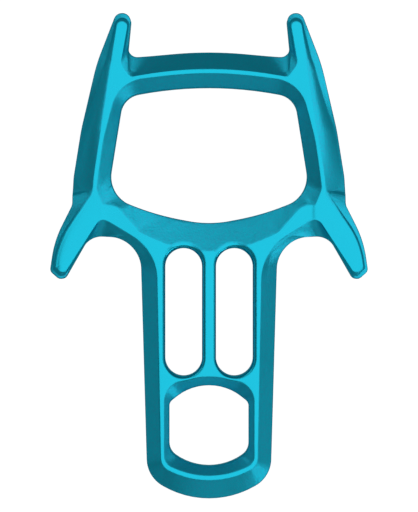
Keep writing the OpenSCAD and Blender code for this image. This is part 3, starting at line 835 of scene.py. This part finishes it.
def add_slot(face, x, shape):
    """Adds the strip that rounds a slot's edge, and returns rows of free points beyond its
    ends."""
    spacing = shape.spacing * SLOT_SPACING
    xy = np.stack([slot_loop(shape, x, gap, spacing) for gap in SLOT_ROWS])
    face.add_strip(xy, face_height(xy.reshape(-1, 2), shape).reshape(xy.shape[:2]), 1)

    free = []
    for gap in SLOT_END_ROWS:
        loop = slot_loop(shape, x, gap, spacing)
        past_end = (loop[:, 1] > shape.slot_top) | (loop[:, 1] < shape.slot_low)
        free.append(loop[past_end & (loop[:, 0] * np.sign(x) > AXIS_GUARD)])
    return free


def seam_points(shape):
    """A fine grid of free points over the short ramp at each fork."""
    grid = np.stack(np.meshgrid(SEAM_ACROSS, SEAM_ALONG), -1)
    grid = grid.reshape(-1, 2) + [shape.seam_x, shape.fork[1]]
    return [grid * [side, 1] for side in (-1, 1)]


def forging_face(shape):
    """The upper face and its triangles. Strips of quads follow the outline's slope, the thin
    edges of the ring and the eye and the rounded edges of the slots, and triangles fill what
    lies between them."""
    face = Face()
    free = add_outer_slope(face, shape)
    known = []
    for opening in (shape.ring, shape.eye):
        on_slope, at_land = add_opening(face, opening, shape)
        known.append(on_slope)
        free.append(at_land)
    for x in (-shape.slot_x, shape.slot_x):
        free += add_slot(face, x, shape)
    free = np.concatenate(free + seam_points(shape))
    known = np.concatenate(known)
    z = np.concatenate([face_height(free, shape), known[:, 2]])
    free = np.concatenate([free, known[:, :2]])
    keep = face.within(free) & face.clear(free)
    free, z = free[keep], z[keep]
    drop = land_height(free, shape) - z
    index = face.add_points(free, z, ramp(drop, SMOOTH_DROP, 0))
    return face, face.triangles(index)


def forging_mesh(shape):
    """The whole skin: the face, its mirror image below, and walls that join their edges."""
    face, tris = forging_face(shape)
    n = len(face.points)
    quads = np.concatenate(face.quads)
    verts = [face.points, face.points * [1, 1, -1]]
    smoothness = [face.smoothness, face.smoothness]
    walls = []
    total = 2 * n
    for i, edge in enumerate(face.edges):
        rows = np.stack([face.points[edge] * [1, 1, share] for share in WALL_ROWS])
        index = total + np.arange(len(WALL_ROWS) * len(edge)).reshape(rows.shape[:2])
        verts.append(rows.reshape(-1, 3))
        smoothness.append(np.full(index.size, WALL_SMOOTHNESS))
        total += index.size
        index = np.concatenate([edge[None], index, edge[None] + n])
        ahead = np.roll(index, -1, 1)
        wall = np.stack([index[1:], ahead[1:], ahead[:-1], index[:-1]], 2).reshape(-1, 4)
        walls.append(wall if i == 0 else wall[:, ::-1])
    verts = (np.concatenate(verts) + [0, -shape.height / 2, shape.half_t]) * MM
    all_quads = np.concatenate([quads, quads[:, ::-1] + n, *walls])
    all_tris = np.concatenate([tris, tris[:, ::-1] + n])
    return verts, all_quads, all_tris, np.concatenate(smoothness)


def make_mesh(name, verts, quads, tris, smoothness):
    """Puts arrays of points, quads and triangles into a mesh, with the smoothness of each
    point as an attribute."""
    mesh = bpy.data.meshes.new(name)
    mesh.vertices.add(len(verts))
    mesh.vertices.foreach_set("co", verts.astype(np.float32).ravel())
    corners = np.concatenate([quads.ravel(), tris.ravel()]).astype(np.int32)
    mesh.loops.add(len(corners))
    mesh.loops.foreach_set("vertex_index", corners)
    sizes = np.concatenate([np.full(len(quads), 4), np.full(len(tris), 3)]).astype(np.int32)
    mesh.polygons.add(len(sizes))
    mesh.polygons.foreach_set("loop_start", (np.cumsum(sizes) - sizes).astype(np.int32))
    mesh.polygons.foreach_set("use_smooth", np.ones(len(sizes), bool))
    attribute = mesh.attributes.new("smoothness", "FLOAT", "POINT")
    attribute.data.foreach_set("value", smoothness.astype(np.float32))
    mesh.update(calc_edges=True)
    mesh.validate()
    return mesh


class Wire:
    """A socket in a node tree, with the operators that the materials use on it."""

    def __init__(self, shop, socket):
        self.shop = shop
        self.socket = socket

    def maths(self, operation, a, b):
        return self.shop.node("ShaderNodeMath", {"operation": operation}, {0: a, 1: b})

    def __add__(self, other):
        return self.maths("ADD", self, other)

    def __radd__(self, other):
        return self.maths("ADD", other, self)

    def __sub__(self, other):
        return self.maths("SUBTRACT", self, other)

    def __rsub__(self, other):
        return self.maths("SUBTRACT", other, self)

    def __mul__(self, other):
        return self.maths("MULTIPLY", self, other)

    def __rmul__(self, other):
        return self.maths("MULTIPLY", other, self)


class Shop:
    """Adds nodes to one node tree."""

    def __init__(self, tree):
        self.tree = tree
        tree.nodes.clear()

    def node(self, kind, settings=None, inputs=None, output=0):
        """Adds a node of a kind, sets its settings, then links or sets its sockets."""
        new = self.tree.nodes.new(kind)
        for name, value in (settings or {}).items():
            setattr(new, name, value)
        for name, value in (inputs or {}).items():
            if isinstance(value, Wire):
                self.tree.links.new(value.socket, new.inputs[name])
            else:
                new.inputs[name].default_value = value
        return Wire(self, new.outputs[output]) if len(new.outputs) else new


# How many clouds of dye there are to a metre, and how much they and the grain tint the metal. The
# grain's tint, less its offset, also leaves the blasted slopes as a whole darker and bluer than the
# lands: painted shade.
CLOUDS_PER_METRE = 90.0
CLOUD_TINT = 0.3
GRAIN_TINT = 3.2
GRAIN_AND_SHADE_OFFSET = 1.3


def anodised_teal(looks):
    """Satin anodised aluminium: smooth on the lands and round the slots, finely blasted on the
    slopes, with faint clouds in the dye. The slopes are also mixed towards the deep colour, which
    paints shade on them: darker and bluer than the lands."""
    material = bpy.data.materials.new("anodised_teal")
    material.use_nodes = True
    shop = Shop(material.node_tree)
    place = shop.node("ShaderNodeTexCoord", output="Object")
    smoothness = shop.node("ShaderNodeAttribute", {"attribute_name": "smoothness"}, output="Fac")
    grain = shop.node("ShaderNodeTexNoise", None, {
        "Vector": place, "Scale": 1 / looks.grain, "Detail": 2.0, "Roughness": 0.6})
    clouds = shop.node("ShaderNodeTexNoise", None, {
        "Vector": place, "Scale": CLOUDS_PER_METRE, "Detail": 3.0})
    blasted = 1 - smoothness
    # Painted shade: the blasted slopes are mixed towards the deep colour, darker and bluer than the
    # lands, with specks of real grain and clouds of dye in it.
    tint = shop.node("ShaderNodeMix", {"data_type": "RGBA"}, {
        0: clouds * CLOUD_TINT + blasted * (grain * GRAIN_TINT - GRAIN_AND_SHADE_OFFSET),
        6: (*looks.metal, 1), 7: (*looks.deep_and_shade, 1)}, output=2)
    roughness = (looks.land_roughness + clouds * 0.04
                 + blasted * (looks.slope_roughness - looks.land_roughness + grain * 0.06))
    bump = shop.node("ShaderNodeBump", None, {
        "Height": grain * (blasted * 0.92 + 0.08), "Strength": 0.5, "Distance": looks.grain_depth})
    shader = shop.node("ShaderNodeBsdfPrincipled", None, {
        "Base Color": tint, "Roughness": roughness, "Metallic": 1.0, "Normal": bump,
        "Specular Tint": (*looks.edge, 1)})
    shop.node("ShaderNodeOutputMaterial", None, {"Surface": shader})
    return material


def white_shown(shop, studio):
    """How much of the white room a ray sees: all of it from the camera and through glass, and
    part of it in a mirror."""
    seen = shop.node("ShaderNodeLightPath", output="Is Camera Ray")
    mirrored = shop.node("ShaderNodeLightPath", output="Is Glossy Ray")
    passed = shop.node("ShaderNodeLightPath", output="Is Transmission Ray")
    return seen + passed + mirrored * studio.mirror_glow


def white_floor(studio):
    """A floor that shows white to the camera, part of that to mirrors, and still takes light
    and shadow."""
    material = bpy.data.materials.new("white_floor")
    material.use_nodes = True
    shop = Shop(material.node_tree)
    shader = shop.node("ShaderNodeBsdfPrincipled", None, {
        "Base Color": (*studio.floor_colour, 1), "Roughness": 0.9, "Specular IOR Level": 0.0,
        "Emission Color": (1, 1, 1, 1),
        "Emission Strength": white_shown(shop, studio) * studio.floor_glow})
    shop.node("ShaderNodeOutputMaterial", None, {"Surface": shader})
    return material


class DESCENDER_OT_forging(bpy.types.Operator):
    """Builds the forging with its rounded lands, ribs, edges and slots"""

    bl_idname = "descender.forging"
    bl_label = "Forging"

    def execute(self, context):
        shape = forging_shape(millimetres(context.scene.forging_sizes))
        mesh = make_mesh("forging", *forging_mesh(shape))
        mesh.materials.append(anodised_teal(context.scene.anodising_looks))
        piece = bpy.data.objects.new("forging", mesh)
        context.scene.collection.objects.link(piece)
        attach(piece, "root")
        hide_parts("forged_body")
        return {"FINISHED"}


# The soft boxes, with the azimuth and the elevation that each lies at, in degrees, and its
# width and height, in metres
LAMPS = {
    "overhead": (0, 72, 2.3, 2.5),
    "right": (0, 12, 0.8, 0.4),
    "corner": (-45, 10, 0.8, 0.3),
    "front": (-90, 12, 0.8, 0.5),
    "front_left": (-135, 15, 0.8, 0.5),
    "left": (180, 10, 0.8, 0.3),
    "far": (90, 42, 0.6, 0.4),
    "far_left": (135, 31, 0.8, 0.5),
    "far_right": (45, 31, 0.8, 0.5),
}
LAMP_DISTANCE = 1.35


def soft_box(name, azimuth, elevation, width, height, radiance):
    """An area lamp on a dome over the object, which it faces, at an azimuth from the right and
    an elevation in degrees: its power is its radiance times pi times its area."""
    data = bpy.data.lights.new(name, "AREA")
    data.shape = "RECTANGLE"
    data.size, data.size_y = width, height
    data.energy = radiance * math.pi * width * height
    lamp = bpy.data.objects.new(name, data)
    around, up = math.radians(azimuth), math.radians(elevation)
    way = Vector((math.cos(around) * math.cos(up), math.sin(around) * math.cos(up), math.sin(up)))
    lamp.location = way * LAMP_DISTANCE
    lamp.rotation_euler = (-way).to_track_quat("-Z", "Y").to_euler()
    lamp.visible_camera = False
    bpy.context.scene.collection.objects.link(lamp)


# Half the floor's width, and its height, just under the object, in metres
FLOOR_HALF = 3.0
FLOOR_Z = -0.0001


class DESCENDER_OT_studio(bpy.types.Operator):
    """Sets up the camera, the lamps, the room's light and the white floor"""

    bl_idname = "descender.studio"
    bl_label = "Studio"

    def execute(self, context):
        scene = context.scene
        studio = scene.studio_settings
        scene.view_settings.view_transform = "Standard"
        centre = Vector((0, 0, (low.z + high.z) / 2))
        data = bpy.data.cameras.new("camera")
        data.lens = studio.lens
        data.sensor_width = 36.0
        camera = bpy.data.objects.new("camera", data)
        camera.location = centre + Vector((0, 0, studio.frame_h * studio.lens / data.sensor_width))
        scene.collection.objects.link(camera)
        scene.camera = camera

        for name, place in LAMPS.items():
            soft_box(name + "_box", *place, getattr(studio, name))

        world = scene.world or bpy.data.worlds.new("room")
        scene.world = world
        world.use_nodes = True
        shop = Shop(world.node_tree)
        back = shop.node("ShaderNodeBackground", None, {
            "Color": (1, 1, 1, 1), "Strength": white_shown(shop, studio)})
        shop.node("ShaderNodeOutputWorld", None, {"Surface": back})

        mesh = bpy.data.meshes.new("floor")
        mesh.from_pydata([(x * FLOOR_HALF, y * FLOOR_HALF, FLOOR_Z)
                          for x, y in ((-1, -1), (1, -1), (1, 1), (-1, 1))], [], [(0, 1, 2, 3)])
        mesh.materials.append(white_floor(studio))
        floor = bpy.data.objects.new("floor", mesh)
        scene.collection.objects.link(floor)
        return {"FINISHED"}


class DESCENDER_PT_panel(bpy.types.Panel):
    """Lists the sizes, the finish and the steps"""

    bl_idname = "DESCENDER_PT_panel"
    bl_label = "Descender"
    bl_space_type = "VIEW_3D"
    bl_region_type = "UI"
    bl_category = "Descender"

    def draw(self, context):
        layout = self.layout
        for name in GROUPS:
            group = getattr(context.scene, name)
            box = layout.box()
            for prop in group.__annotations__:
                box.prop(group, prop)
        for operator in (DESCENDER_OT_forging, DESCENDER_OT_studio):
            layout.operator(operator.bl_idname)


GROUPS = {"forging_sizes": ForgingSizes, "anodising_looks": AnodisingLooks,
          "studio_settings": StudioSettings}
CLASSES = (*GROUPS.values(), DESCENDER_OT_forging, DESCENDER_OT_studio, DESCENDER_PT_panel)


def register():
    for cls in CLASSES:
        bpy.utils.register_class(cls)
    for name, group in GROUPS.items():
        setattr(bpy.types.Scene, name, PointerProperty(type=group))


def unregister():
    for name in GROUPS:
        delattr(bpy.types.Scene, name)
    for cls in reversed(CLASSES):
        bpy.utils.unregister_class(cls)


def main():
    """Sets up the studio and builds the forging."""
    register()
    bpy.ops.descender.studio()
    bpy.ops.descender.forging()


if __name__ == "__main__":
    main()
